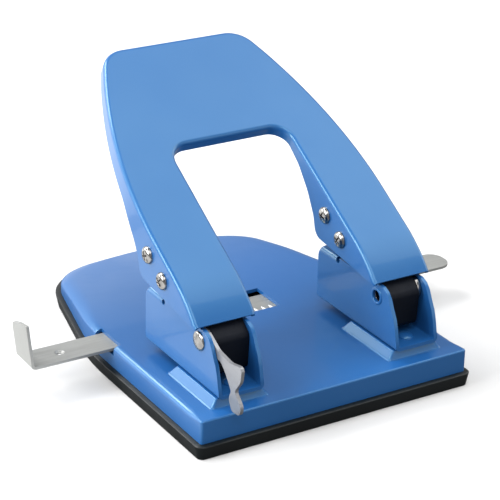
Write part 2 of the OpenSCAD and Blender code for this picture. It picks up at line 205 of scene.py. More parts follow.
def weighted(mesh, name):
    """The same mesh with its normals weighted by face area, so that large flat faces look flat."""
    obj = bpy.data.objects.new("work", mesh)
    scene.collection.objects.link(obj)
    mod = obj.modifiers.new("weights", "WEIGHTED_NORMAL")
    mod.keep_sharp = True
    result = evaluated(obj)
    bpy.data.objects.remove(obj)
    bpy.data.meshes.remove(mesh)
    result.name = name
    return result


def add(name, bm, body, material, replaces=(), angle=SMOOTH):
    """Puts a piece in the scene on its body."""
    mesh = weighted(finish_mesh(bm, name, angle), name)
    obj = bpy.data.objects.new(name, mesh)
    scene.collection.objects.link(obj)
    mesh.materials.clear()
    mesh.materials.append(material)
    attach(obj, body)
    if replaces:
        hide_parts(*replaces)
    return obj


def baked(bm, steps):
    """Runs modifiers on a bmesh and returns the result as a bmesh. steps are (type, settings)."""
    if all(e.is_manifold for e in bm.edges):
        bmesh.ops.recalc_face_normals(bm, faces=bm.faces)
    mesh = bpy.data.meshes.new("work")
    bm.to_mesh(mesh)
    bm.free()
    obj = bpy.data.objects.new("work", mesh)
    scene.collection.objects.link(obj)
    for kind, settings in steps:
        mod = obj.modifiers.new(kind, kind)
        for key, value in settings.items():
            setattr(mod, key, value)
    result = evaluated(obj)
    out = bmesh.new()
    out.from_mesh(result)
    helpers = [settings["object"] for _, settings in steps if "object" in settings]
    for o in [obj] + helpers:
        old = o.data
        bpy.data.objects.remove(o)
        bpy.data.meshes.remove(old)
    bpy.data.meshes.remove(result)
    return out


def carved(bm, cutters, operation="DIFFERENCE"):
    """The piece with each cutter taken out of it in turn, or kept to what lies inside each of them."""
    steps = []
    for cutter in cutters:
        obj = bpy.data.objects.new("cutter", bpy.data.meshes.new("cutter"))
        bmesh.ops.recalc_face_normals(cutter, faces=cutter.faces)
        cutter.to_mesh(obj.data)
        cutter.free()
        scene.collection.objects.link(obj)
        steps.append(("BOOLEAN", {"operation": operation, "object": obj, "solver": "EXACT"}))
    return baked(bm, steps)


def merge(parts):
    """One bmesh of several."""
    out = bmesh.new()
    for bm in parts:
        mesh = bpy.data.meshes.new("part")
        bm.to_mesh(mesh)
        bm.free()
        out.from_mesh(mesh)
        bpy.data.meshes.remove(mesh)
    return out


def mirrored(bm):
    """The same piece on the other side of the middle plane."""
    out = bm.copy()
    bmesh.ops.scale(out, vec=(-1, 1, 1), verts=out.verts)
    bmesh.ops.reverse_faces(out, faces=out.faces)
    return out


def upright(x, y, z):
    """Place for a prism whose outline is (x, y) and which is drawn out along Z."""
    return x, y, z


def sideways(y, z, x):
    """Place for a prism whose outline is (y, z) and which is drawn out along X."""
    return x, y, z


def block(x0, x1, y0, y1, z0, z1):
    """A box between two corners."""
    return prism([(x0, y0), (x1, y0), (x1, y1), (x0, y1)], upright, z0, z1)


def rod(p, q, r):
    """A cylinder from p to q."""
    p, q = Vector(p), Vector(q)
    turn = (q - p).to_track_quat("Z", "Y").to_matrix()
    ring = circle(r, 40)
    return build(*loft([[tuple(o + turn @ Vector((x, y, 0))) for x, y in ring] for o in (p, q)]))


def refined(node, width):
    """A CAD node's mesh, welded, with its flat faces whole and its edges rounded."""
    bm = bmesh.new()
    bm.from_mesh(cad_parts[node].data)
    bmesh.ops.remove_doubles(bm, verts=bm.verts, dist=WELD)
    bmesh.ops.dissolve_limit(bm, angle_limit=radians(FLAT), verts=bm.verts, edges=bm.edges)
    return bevel_edges(bm, width)


# ---------------------------------------------------------------- materials


class Shader:
    """A small helper for building a node material in object coordinates."""

    def __init__(self, name, **values):
        """values are inputs of the Principled BSDF, with underscores for spaces."""
        self.material = bpy.data.materials.new(name)
        self.material.use_nodes = True
        self.tree = self.material.node_tree
        self.bsdf = self.tree.nodes["Principled BSDF"]
        for key, value in values.items():
            self.bsdf.inputs[key.replace("_", " ")].default_value = value
        self.coords = self.node("ShaderNodeTexCoord").outputs["Object"]

    def node(self, kind, **props):
        """A new node with its properties set."""
        n = self.tree.nodes.new(kind)
        for key, value in props.items():
            setattr(n, key, value)
        return n

    def link(self, a, b):
        """Joins output a to input b."""
        self.tree.links.new(a, b)

    def mapped(self, scale):
        """Object coordinates stretched along X, Y and Z."""
        m = self.node("ShaderNodeMapping")
        m.inputs["Scale"].default_value = scale
        self.link(self.coords, m.inputs["Vector"])
        return m.outputs["Vector"]

    def noise(self, scale, detail, rough=0.5, vector=None):
        """Noise value, in object coordinates unless another vector is given."""
        n = self.node("ShaderNodeTexNoise")
        n.inputs["Scale"].default_value = scale
        n.inputs["Detail"].default_value = detail
        n.inputs["Roughness"].default_value = rough
        self.link(vector if vector is not None else self.coords, n.inputs["Vector"])
        return n.outputs["Fac"]

    def ramp(self, value, stops):
        """Colour that runs through (position, colour) stops."""
        r = self.node("ShaderNodeValToRGB")
        while len(r.color_ramp.elements) < len(stops):
            r.color_ramp.elements.new(0.5)
        for e, (pos, colour) in zip(r.color_ramp.elements, stops):
            e.position = pos
            e.color = (*colour, 1)
        self.link(value, r.inputs["Fac"])
        return r.outputs["Color"]

    def range(self, value, low, high):
        """low to high over the values that a noise mostly takes."""
        m = self.node("ShaderNodeMapRange")
        m.inputs["From Min"].default_value = 0.3
        m.inputs["From Max"].default_value = 0.7
        m.inputs["To Min"].default_value = low
        m.inputs["To Max"].default_value = high
        self.link(value, m.inputs["Value"])
        return m.outputs["Result"]

    def maths(self, operation, a, b):
        """Result of a maths node; a and b are numbers or outputs."""
        m = self.node("ShaderNodeMath", operation=operation)
        for socket, value in zip(m.inputs, (a, b)):
            if isinstance(value, (int, float)):
                socket.default_value = value
            else:
                self.link(value, socket)
        return m.outputs[0]

    def bump(self, height, strength, distance):
        """Puts a height into the surface's normal."""
        b = self.node("ShaderNodeBump")
        b.inputs["Strength"].default_value = strength
        b.inputs["Distance"].default_value = distance
        self.link(height, b.inputs["Height"])
        self.link(b.outputs["Normal"], self.bsdf.inputs["Normal"])

    def set(self, socket, value):
        """Joins an output to the named input of the Principled BSDF."""
        self.link(value, self.bsdf.inputs[socket])


def enamel():
    """Smooth stoved enamel: faint orange peel, and a slow drift of tone and of gloss."""
    s = Shader("blue_enamel", Specular_IOR_Level=0.60, Specular_Tint=(0.50, 1.0, 1.0, 1.0),
               Coat_Weight=0.22, Coat_Roughness=0.06)
    tone = s.noise(14.0, 3.0, 0.55)
    s.set("Base Color", s.ramp(tone, [(0.30, (0.0105, 0.078, 0.252)), (0.70, (0.0120, 0.084, 0.266))]))
    gloss = s.noise(40.0, 3.0, 0.5)
    s.set("Roughness", s.range(gloss, 0.29, 0.38))
    peel = s.noise(260.0, 2.0, 0.45)
    s.bump(peel, 0.05, 0.00025)
    return s.material


def moulded(name, low, high, rough):
    """Moulded plastic with a fine spark-eroded grain."""
    s = Shader(name, Specular_IOR_Level=0.30)
    s.set("Base Color", s.ramp(s.noise(30.0, 4.0), [(0.3, low), (0.7, high)]))
    s.set("Roughness", s.range(s.noise(160.0, 4.0), rough - 0.06, rough + 0.08))
    grain = s.node("ShaderNodeTexVoronoi")
    grain.inputs["Scale"].default_value = 2600.0
    s.link(s.coords, grain.inputs["Vector"])
    s.bump(grain.outputs["Distance"], 0.18, 0.0001)
    return s.material


def metal(name, dark, light, rough, brushed=None, strength=0.12, metallic=1.0):
    """Bare or plated steel. brushed is the stretch of its grain along X, Y and Z."""
    s = Shader(name, Metallic=metallic)
    vector = s.mapped(brushed or (1, 1, 1))
    fine = s.noise(60.0 if brushed else 260.0, 6.0, 0.62, vector)
    slow = s.noise(35.0, 4.0, 0.5)
    mix = s.maths("ADD", s.maths("MULTIPLY", fine, 0.6), s.maths("MULTIPLY", slow, 0.4))
    s.set("Base Color", s.ramp(mix, [(0.35, dark), (0.62, light)]))
    s.set("Roughness", s.range(fine, rough - 0.07, rough + 0.10))
    s.bump(fine, strength, 0.00012)
    return s.material


def painted(name, low, high, rough, shine=0.5):
    """Thin paint with a fine grit."""
    s = Shader(name, Specular_IOR_Level=shine)
    s.set("Base Color", s.ramp(s.noise(60.0, 5.0), [(0.3, low), (0.7, high)]))
    s.set("Roughness", s.range(s.noise(220.0, 4.0), rough - 0.06, rough + 0.08))
    s.bump(s.noise(900.0, 3.0), 0.14, 0.0002)
    return s.material


blue = enamel()
plastic = moulded("black_plastic", (0.0022, 0.0038, 0.0045), (0.0042, 0.0066, 0.0075), 0.40)
nickel = metal("nickel_plate", (0.20, 0.19, 0.18), (0.36, 0.35, 0.335), 0.18)
guide_steel = metal("guide_steel", (0.265, 0.27, 0.26), (0.335, 0.34, 0.33), 0.48,
                    (1.0, 22.0, 22.0), 0.08, 0.6)
lock_steel = metal("lock_steel", (0.22, 0.225, 0.24), (0.29, 0.295, 0.31), 0.36,
                   (20.0, 1.5, 6.0), 0.10, 0.6)
tool_steel = metal("tool_steel", (0.20, 0.20, 0.205), (0.36, 0.36, 0.365), 0.37)
# Near-black with a blue cast: partly the press levers' own black finish, partly painted shade, darkened and
# tinted blue to stand for the deep shade inside the towers.
black_steel = painted("black_steel", (0.0012, 0.0022, 0.0050), (0.0025, 0.0042, 0.0090), 0.50, 0.12)
white_mark = painted("white_mark", (0.74, 0.74, 0.72), (0.82, 0.82, 0.80), 0.5)

# ---------------------------------------------------------------- base

HALF_W, FRONT, REAR, TOP, RIM, SHEET = 60.5, 78.5, 79.5, 15.5, 6.0, 1.5
CAMBER_R, CAMBER_Y = 490.0, 3.0
TOWER_X, PUNCH_Y, PIVOT_Y, PIVOT_Z = 40.0, -26.5, -58.0, 37.3
PUNCH_HOLE_R = 3.3
NOTCH_X, NOTCH_Y, NOTCH_Z = (57.3, 66), (-9.0, 7.5), 11.4
SHOULDER, SHOULDER_MAX, FOLD_MIN = 6, 5.6, 0.3


def plan(g):
    """Plan outline of the base grown by g, always with the same number of points."""
    r = 1.2 + max(g, -1)
    side = [(HALF_W + g, -FRONT - g, r), (HALF_W + g, 12, 120), (45 + g, REAR - 1.5 + g, 24 + g)]
    corners = side + [(0, REAR + g, 400)] + [(-x, y, c) for x, y, c in side[::-1]]
    return rounded(corners, [10, 8, 24, 8, 24, 8, 10], [30, 8, 8, 8, 8, 30, 44])


def camber(y):
    """Height of the deck, which falls away towards the rear."""
    return TOP if y < CAMBER_Y else TOP - CAMBER_R + sqrt(CAMBER_R ** 2 - (y - CAMBER_Y) ** 2)


WINDOW = (-17.1, -8.8, 17.1, 9.6)


def window_loop(points, grow):
    """Rectangle round the window with one point in the direction of each given point."""
    x0, y0, x1, y1 = WINDOW[0] - grow, WINDOW[1] - grow, WINDOW[2] + grow, WINDOW[3] + grow
    cx, cy = (x0 + x1) / 2, (y0 + y1) / 2
    out = []
    for x, y in points:
        dx, dy = x - cx, y - cy
        k = min((x1 - cx) / abs(dx) if dx else 1e9, (y1 - cy) / abs(dy) if dy else 1e9)
        out.append((cx + dx * k, cy + dy * k))
    for corner in ((x0, y0), (x1, y0), (x1, y1), (x0, y1)):
        i = min(range(len(out)), key=lambda j: hypot(out[j][0] - corner[0], out[j][1] - corner[1]))
        out[i] = corner
    return out


def base_shell():
    """Pressed top of the base: one closed skin with a rim wall, soft shoulder and domed deck.

    At each point of the rim, the shoulder reaches in by soft and falls by drop.
    """
    edge, inner = plan(0), plan(-SHOULDER)
    n = len(edge)
    soft, drop = [], []
    for x, y in edge:
        flank = ease(26, 42, abs(x))
        left = ease(0, 40, -x) * ease(10, 45, y)
        body = ease(-78, -69, y)
        reach = 0.8 + flank * (2.0 * body + 1.6 * ease(-30, 40, y)) + (4.4 - 2.2 * flank) * left
        soft.append(min(SHOULDER_MAX, reach))
        drop.append(0.7 + flank * body * (1.3 - 1.2 * ease(20, 45, y)) + 2.0 * left)

    def skin(depth, wall, deck):
        """Rings of one face of the sheet, depth below the outside, from the rim to the window.

        wall gives the heights up the rim wall as fractions, deck the steps over the deck.
        """
        across = [max(r - depth, FOLD_MIN) for r in soft]
        down = [max(d - depth, FOLD_MIN) for d in drop]

        def ring(f, a):
            """The ring at angle a over the shoulder, or at fraction f of the wall's height."""
            out = []
            for i in range(n):
                t = (depth + across[i] * (1 - cos(a))) / SHOULDER
                x, y = (edge[i][k] + (inner[i][k] - edge[i][k]) * t for k in (0, 1))
                z = camber(y) - depth - down[i] * (1 - sin(a))
                out.append((x, y, RIM + (z - RIM) * f))
            return out

        rings = [ring(f, 0) for f in wall]
        rings += [ring(1, k / 8 * pi / 2) for k in range(1, 9)]
        near = window_loop(inner, 1.0)
        for t in span(0, 1, deck):
            points = [[p[k] + (q[k] - p[k]) * t for k in (0, 1)] for p, q in zip(inner, near)]
            rings.append([(x, y, camber(y) - depth) for x, y in points])
        rings.append([(*p, camber(p[1]) - depth) for p in window_loop(inner, 0.0)])
        return rings

    rings = skin(0, (0, 0.5, 1), 26) + skin(SHEET, (0, 1), 12)[::-1]
    shell = build(*loft(rings, closed=True))
    cutters = []
    for s in (-1, 1):
        x0, x1 = sorted(s * x for x in NOTCH_X)
        cutters.append(block(x0, x1, *NOTCH_Y, NOTCH_Z, 30))
        cutters.append(rod((s * TOWER_X, PUNCH_Y, 5), (s * TOWER_X, PUNCH_Y, 25), PUNCH_HOLE_R))
    return bevel_edges(carved(shell, [merge(cutters)]), 0.22, 2, 48)


def pad(side):
    """Raised pad under a tower: sloped sides, a rounded top edge and a soft foot."""
    def rect(f, z, r):
        """Outline at fraction f of the slope, at height z and with corner radius r."""
        x = 12.5 - 2.4 * f
        y0, y1 = -72.2 + 1.1 * f, -38.5 - 2.6 * f
        c = side * TOWER_X
        corners = [(c + x, y0, r), (c + x, y1, r), (c - x, y1, r), (c - x, y0, r)]
        return [(px, py, z) for px, py in rounded(corners, 6)]

    shape = [(-0.22, 14.9, 1.6), (-0.22, 15.45, 1.6), (-0.12, 15.53, 1.5), (0.0, 15.68, 1.4),
             (0.07, 15.80, 1.3), (0.25, 16.42, 1.2), (0.5, 17.30, 1.1), (0.75, 18.17, 1.0),
             (0.90, 18.68, 1.0), (0.97, 18.88, 0.9), (1.05, 18.98, 0.8), (1.15, 19.0, 0.7)]
    return build(*loft([rect(*s) for s in shape]))


add("base_shell", base_shell(), "base", blue, ["base_plate"])
add("base_pads", merge([pad(-1), pad(1)]), "base", blue, angle=40)


def tray():
    """Black tray: drafted sides, a ledge that stands out round the base, and a floor for the chips."""
    prof = [(0.8, 0.0), (1.05, 0.08), (1.18, 0.3), (1.42, 1.7), (1.66, 3.1), (1.90, 4.4), (2.08, 5.3),
            (2.06, 5.5), (1.9, 5.66), (1.2, 5.84), (0.6, 5.93), (-0.2, 5.95), (-1.85, 5.95)]
    rings = [[(x, y, z) for x, y in plan(g)] for g, z in prof]
    for g, drop in ((-1.85, 3.0), (-2.1, 2.8), (-3.15, 2.8), (-3.4, 3.0)):
        rings.append([(x, y, min(8.9, camber(y) - drop)) for x, y in plan(g)])
    rings += [[(x, y, z) for x, y in plan(g)] for g, z in ((-3.4, 2.1), (-3.8, 1.6))]
    return build(*loft(rings))


add("tray_moulding", tray(), "chip_tray", plastic, ["chip_tray"], angle=40)

# ---------------------------------------------------------------- towers

TOWER_FLOOR, TOWER_TOP, TOWER_REAR, TAB_FRONT, WALL_OUT = 19.0, 42.6, -18.0, -31.0, 9.85
PIN_R, PUNCH_BORE_R, TAB_HOLE_R, TAB_HOLE_Y, TAB_HOLE_Z = 3.0, 3.06, 1.4, -30, 41.7


def tower(side):
    """Folded channel with a tab across its rear top that guides the punch."""
    c = side * TOWER_X
    front = [(-72.8, 19.0), (-72.2, 23.6), (-71.3, 27.8), (-70.0, 31.9), (-68.0, 35.4), (-66.2, 39.0),
             (-64.2, 41.3), (-61.7, 42.45), (-60.5, 42.6)]

    def section(y, low, high, w, r_low, r_top, n):
        """Upright rectangle across the tower, 2 w wide."""
        corners = [(w, low, r_low), (w, high, r_top), (-w, high, r_top), (-w, low, r_low)]
        return [(x + c, y, z) for x, z in rounded(corners, n)]

    def outside(y, high, r_top):
        """Section of the sheet's outer face."""
        return section(y, TOWER_FLOOR, high, WALL_OUT, 2.0, r_top, 6)

    def inside(y, high, r_top):
        """Section of the channel."""
        return section(y, TOWER_FLOOR + SHEET, high, WALL_OUT - SHEET, 0.6, r_top, 5)

    rings = [outside(y, max(z, 21.4), 0.1) for y, z in front]
    rings += [outside(y, TOWER_TOP, 0.1) for y in span(-58, TAB_FRONT - 0.2, 6)]
    rings += [outside(y, TOWER_TOP, 2.4) for y in span(TAB_FRONT, TOWER_REAR, 5)]
    for a in span(0, pi / 2, 6)[1:]:
        rings.append(outside(TOWER_REAR + 2 * sin(a), TOWER_TOP - 2 * (1 - cos(a)), 2.4))
    body = build(*loft(rings))
    cuts = [build(*loft([inside(y0, top, r), inside(y1, top, r)]))
            for y0, y1, top, r in ((-80, TAB_FRONT, 60, 0.1), (TAB_FRONT - 1, -10, TOWER_TOP - SHEET, 1.0))]
    cuts += [rod((c - 12, TAB_HOLE_Y, TAB_HOLE_Z), (c + 12, TAB_HOLE_Y, TAB_HOLE_Z), TAB_HOLE_R),
             rod((c, PUNCH_Y, 15), (c, PUNCH_Y, 50), PUNCH_BORE_R),
             rod((c - 12, PIVOT_Y, PIVOT_Z), (c + 12, PIVOT_Y, PIVOT_Z), PIN_R)]
    return bevel_edges(carved(body, cuts), 0.28, 2, 35)


def along_x(profile, y, z, caps=True, closed=False):
    """A lathe-turned piece whose axis lies along X: profile is (radius, x)."""
    rings = [[(x, y + u, z + v) for u, v in circle(r, 48)] for r, x in profile]
    return build(*loft(rings, (caps, caps), closed))


def collar():
    """Raised ring round the pivot hole on the right tower's inner wall."""
    x = TOWER_X - WALL_OUT
    profile = [(2.42, x + 0.9), (2.42, x - 0.22), (2.5, x - 0.34), (2.7, x - 0.4), (3.15, x - 0.4),
               (3.45, x - 0.32), (3.62, x - 0.15), (3.7, x + 0.1), (3.7, x + 0.9)]
    return along_x(profile, PIVOT_Y, PIVOT_Z, caps=False, closed=True)


for side, name in SIDES:
    add(name + "_tower_sheet", tower(side), "base", blue, [name + "_tower"])
    ring = collar() if side > 0 else mirrored(collar())
    add(name + "_pivot_collar", ring, "base", blue, angle=40)

# ---------------------------------------------------------------- handle

SLOPE = radians(30.25)
PLATE_Y, PLATE_Z = -44.9, 57.8
ARM, ARM_R, ARM_HALF, GAP_HALF, LENGTH, GAP_TOP = 20.5, 60.0, 53.4, 26.9, 113.0, 60.4


def from_plate(x, s, t):
    """A point of the handle's plate, s along it and t off its face, in the shared frame."""
    return x, PLATE_Y + s * cos(SLOPE) - t * sin(SLOPE), PLATE_Z + s * sin(SLOPE) + t * cos(SLOPE)


def plate_t(s):
    """How far the arms curve down in front of the flat plate."""
    return sqrt(ARM_R ** 2 - s * s) - ARM_R if s < 0 else 0.0


def half_w(s):
    """Half width of the plate, which narrows towards its free end."""
    return ARM_HALF - 21.4 * (max(s - 20, 0) / (LENGTH - 20)) ** 2


def edge_line(points):
    """Flange edge in side view, rounded, as (s, t) points."""
    pts = [points[0][:2]]
    for a, b, c in zip(points, points[1:], points[2:]):
        pts += fillet(a, b, c, b[2], 8)
    return pts + [points[-1][:2]]


TAIL = [(18.5, -21.6, 5), (-ARM - 0.7, -4.6, 0)]
OUTER_EDGE = edge_line([(LENGTH + 1, -5.6, 0), (46, -8.5, 30), (25, -14.4, 25)] + TAIL)
INNER_EDGE = edge_line([(LENGTH + 1, -5.6, 0), (54, -5, 30), (44, -6.2, 20), (33, -10.4, 20),
                        (24, -15.8, 15)] + TAIL)


def handle_shell():
    """One sheet: the face, rolled down into a flange at its outer edge and round the gap."""
    gap_end, end = 52.4, LENGTH - 14
    top = [(half_w(s), s) for s in span(gap_end, end, 30)]
    top += fillet((half_w(end), end), (half_w(LENGTH), LENGTH), (0, LENGTH), 12, 16) + [(0, LENGTH)]
    gap_top = fillet((GAP_HALF, 40), (GAP_HALF, GAP_TOP), (0, GAP_TOP), 8, 16) + [(0, GAP_TOP)]
    stations = span(0, 1, 64)
    along = span(-ARM, 12, 16) + span(12, 34, 34)[1:] + span(34, gap_end, 12)[1:]
    outer = [(half_w(s), s) for s in along] + resample(top, stations)[1:]
    inner = [(GAP_HALF, s) for s in along] + resample([(GAP_HALF, gap_end)] + gap_top[1:], stations)[1:]

    def normals(path, flip):
        """Unit normal of a border at each of its points, pointing away from the sheet."""
        out = []
        for i in range(len(path)):
            a, b = path[max(i - 1, 0)], path[min(i + 1, len(path) - 1)]
            d = Vector((b[0] - a[0], b[1] - a[1])).normalized()
            n = Vector((d.y, -d.x)) * flip
            out.append(Vector((0, n.y)).normalized() if path[i][0] < 1e-6 else n)
        return out

    n_out, n_in = normals(outer, 1), normals(inner, -1)
    roll, n_fold, n_flange = 1.7, 7, 7  # radius of the fold, and steps over the fold and the flange

    def side(p, n, edge):
        """Points from the face's border out over the fold and down to the flange's edge."""
        depth = plate_t(p[1]) - at(edge, min(max(p[1], -ARM), LENGTH))
        fold = roll * pi / 2
        total = fold + depth - roll if depth >= roll else roll * acos(1 - depth / roll)
        bend = min(fold, 0.75 * total)
        out = []
        for d in span(0, bend, n_fold) + span(bend, total, n_flange)[1:]:
            a = min(d, fold) / roll
            off, down = roll * (1 - sin(a)), roll * (1 - cos(a)) + max(d - fold, 0)
            q = Vector(p) - n * off
            out.append((q.x, q.y, plate_t(q.y) - down))
        return out

    columns = []
    for p, q, a, b in zip(outer, inner, n_out, n_in):
        o, i = side(p, a, OUTER_EDGE), side(q, b, INNER_EDGE)
        u, v = o[0], i[0]
        face = []
        for f in span(0, 1, 12)[1:-1]:
            x, s = u[0] + (v[0] - u[0]) * f, u[1] + (v[1] - u[1]) * f
            face.append((x, s, plate_t(s)))
        columns.append(o[::-1] + face + i)
    columns += [[(-x, s, t) for x, s, t in c] for c in columns[:-1][::-1]]
    shell = build(*grid([[from_plate(*p) for p in c] for c in columns]))
    bmesh.ops.recalc_face_normals(shell, faces=shell.faces)
    if sum(f.normal.z * f.calc_area() for f in shell.faces) < 0:
        bmesh.ops.reverse_faces(shell, faces=shell.faces)
    thicken = {"thickness": SHEET * MM, "offset": -1.0, "use_even_offset": True, "use_quality_normals": True}
    return bevel_edges(baked(shell, [("SOLIDIFY", thicken)]), 0.3, 2, 45)


add("handle_sheet", handle_shell(), "handle", blue, ["handle"])

SCREWS = [(-24.7, 59.8), (-36.0, 53.5)]


def screw(turn):
    """Pan-head screw along Z with a cross recess; the flange's face is at z 0."""
    dome = [(3.5 * sin(a), 0.35 + 1.65 * cos(a)) for a in span(0.12, pi / 2, 10)]
    shank = [(3.5, 0.0), (1.75, 0.0), (1.75, -2.9), (1.5, -3.0), (AXIS, -3.0)]
    body = lathe([(AXIS, 2.0)] + dome + shank, 40)
    arms = []
    for a in (0, pi / 2):
        arm = build(*loft([[(w * x, h * y, z) for x, y in ((1, 1), (-1, 1), (-1, -1), (1, -1))]
                           for w, h, z in ((1.2, 0.22, 0.5), (2.15, 0.42, 2.3))]))
        bmesh.ops.rotate(arm, cent=(0, 0, 0), matrix=Matrix.Rotation(a + turn, 3, "Z"), verts=arm.verts)
        arms.append(arm)
    return bevel_edges(carved(body, arms), 0.08, 1, 50)


def screws():
    """The eight screws, two through each flange, each turned a little differently."""
    out = []
    turns = iter((0.35, 1.1, 0.8, 0.15, 0.6, 1.3, 0.05, 0.95))
    for side in (-1, 1):
        for y, z in SCREWS:
            for x, way in ((ARM_HALF, 1), (GAP_HALF, -1)):
                s = screw(next(turns))
                face = Matrix.Rotation(side * way * pi / 2, 3, "Y")
                bmesh.ops.rotate(s, cent=(0, 0, 0), matrix=face, verts=s.verts)
                out.append(moved(s, side * x, y, z))
    return merge(out)


add("pan_head_screws", screws(), "handle", nickel, ["handle_screws"], angle=40)

# ---------------------------------------------------------------- pins, rivets and punches


def pin():
    """Hinge pin of the right tower: domed head outside, hollow end inside."""
    x_in, x_out = TOWER_X - WALL_OUT, TOWER_X + WALL_OUT
    profile = [(AXIS, x_in + 7.2), (2.2, x_in + 7.6), (2.3, x_in + 6.8), (2.3, x_in + 1.2),
               (2.45, x_in + 1.0), (2.9, x_in + 1.0), (3.0, x_in + 1.1), (3.0, x_out), (3.9, x_out),
               (3.9, x_out + 0.25)]
    profile += [(3.9 * cos(a), x_out + 0.25 + 1.25 * sin(a)) for a in span(0.12, pi / 2 - 0.05, 9)]
    return along_x(profile + [(AXIS, x_out + 1.5)], PIVOT_Y, PIVOT_Z)


right_pin = pin()
# Thin dark cups inside the hollow pin ends: painted shade, a dark lining that makes the bores read as dark
# holes.
CUP_FLOOR, CUP_RIM = TOWER_X - 3.4, TOWER_X - 8.7
bore_shade_cup = along_x([(AXIS, CUP_FLOOR), (2.28, CUP_FLOOR), (2.28, CUP_RIM), (2.1, CUP_RIM),
                    (2.05, CUP_FLOOR - 0.3), (AXIS, CUP_FLOOR - 0.3)], PIVOT_Y, PIVOT_Z)
add("pin_bore_shade", merge([mirrored(bore_shade_cup), bore_shade_cup]), "base", black_steel, angle=40)
add("left_pin_turned", mirrored(right_pin), "base", nickel, ["left_pivot_pin"], angle=40)
add("right_pin_turned", right_pin, "base", nickel, ["right_pivot_pin"], angle=40)


def rivets():
    """Two rivets in each tower's floor, painted over."""
    dome = [(3.2 * cos(a), 20.65 + 1.05 * sin(a)) for a in span(0, pi / 2 - 0.05, 8)]
    shank = [(AXIS, 16.7), (2.0, 16.7), (2.2, 16.9), (2.2, 17.5), (2.0, 17.5), (2.0, 20.5), (3.2, 20.5)]
    profile = shank + dome + [(AXIS, 21.7)]
    return merge([moved(lathe(profile), side * TOWER_X, y) for side in (-1, 1) for y in (-65.0, -48.0)])


add("rivet_heads", rivets(), "base", blue, ["tower_rivets"], angle=40)

CLIP_LOW, CLIP_HIGH = 39.9, 40.9


def punch(side):
    """Punch pin with a hollow-ground end and a domed head."""
    dome = [(7.9 * sin(a), 50.5 + 7.9 * cos(a)) for a in span(0.0025, 0.615, 8)]
    hollow = [(r, 16.6 + sqrt(4.2 ** 2 - r * r)) for r in span(AXIS, 2.46, 6)]
    pin_and_head = [(2.9, 20.0), (3.0, 20.1), (3.0, 53.4), (3.2, 53.6), (4.8, 53.6), (5.0, 53.8),
                    (5.0, 56.3), (4.8, 56.7)]
    return moved(lathe(hollow + pin_and_head + dome[::-1]), side * TOWER_X, PUNCH_Y)


def clip(side):
    """Ring on the punch that its spring pushes up."""
    ring = lathe([(AXIS, CLIP_LOW), (5.0, CLIP_LOW), (5.2, CLIP_LOW + 0.2), (5.2, CLIP_HIGH - 0.2),
                  (5.0, CLIP_HIGH), (AXIS, CLIP_HIGH)])
    return moved(ring, side * TOWER_X, PUNCH_Y)


def spring(side):
    """Compression spring of round wire with closed end turns."""
    steps, turns, wire, mean, sides = 28, 6, 0.5, 4.2, 10
    total, closed = steps * turns, steps
    z0, z1 = TOWER_FLOOR + SHEET + wire, CLIP_LOW - wire
    rings = []
    for i in range(total + 1):
        seat = 2 * wire * min(i / closed, 1) + 2 * wire * max((i - total + closed) / closed, 0)
        rise = min(max((i - closed) / (total - 2 * closed), 0), 1)
        z, a = z0 + seat + rise * (z1 - z0 - 4 * wire), 2 * pi * i / steps
        rings.append([((mean + u) * cos(a), (mean + u) * sin(a), z + v) for u, v in circle(wire, sides)])
    return moved(build(*loft(rings)), side * TOWER_X, PUNCH_Y)


for side, name in SIDES:
    add(name + "_punch_turned", punch(side), name + "_punch", tool_steel,
        [name + "_punch"], angle=40)
    add(name + "_clip_turned", clip(side), name + "_punch", tool_steel, [name + "_punch_clip"])
    coil = add(name + "_spring_wire", spring(side), "base", nickel, [name + "_return_spring"])
    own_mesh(coil)

# ---------------------------------------------------------------- lock lever and paper guide

LOCK = rounded([(-52.6, 31.6, 5), (-52.6, 42.3, 5), (-60.6, 41.7, 4), (-68.5, 37.5, 8), (-77.5, 36.3, 8),
                (-86, 38.2, 1.8), (-85, 31.5, 6), (-80.9, 26.2, 2), (-86.0, 21.5, 3), (-84.6, 17.8, 2.0),
                (-79.2, 17.2, 2.0), (-76.9, 21.6, 2.5), (-78.6, 25.3, 1.6), (-74.2, 31, 12),
                (-70.2, 34.4, 3), (-63, 31.6, 6)], 8)
LOCK_X, LOCK_BORE_R = (-48.15, -46.75), 3.05
lever = bevel_edges(prism(LOCK, sideways, *LOCK_X), 0.35, 3, 50)
lever = carved(lever, [rod((-52, PIVOT_Y, PIVOT_Z), (-44, PIVOT_Y, PIVOT_Z), LOCK_BORE_R)])
add("lock_blade", lever, "lock_lever", lock_steel, ["lock_lever"])

GUIDE_T, GUIDE_Z, GUIDE_Y, GUIDE_W, LEAN = 1.3, 12.6, -7.4, 14.0, radians(6)
GUIDE_LEFT, GUIDE_RIGHT, TAB_H = -95.0, 107.0, 19.6


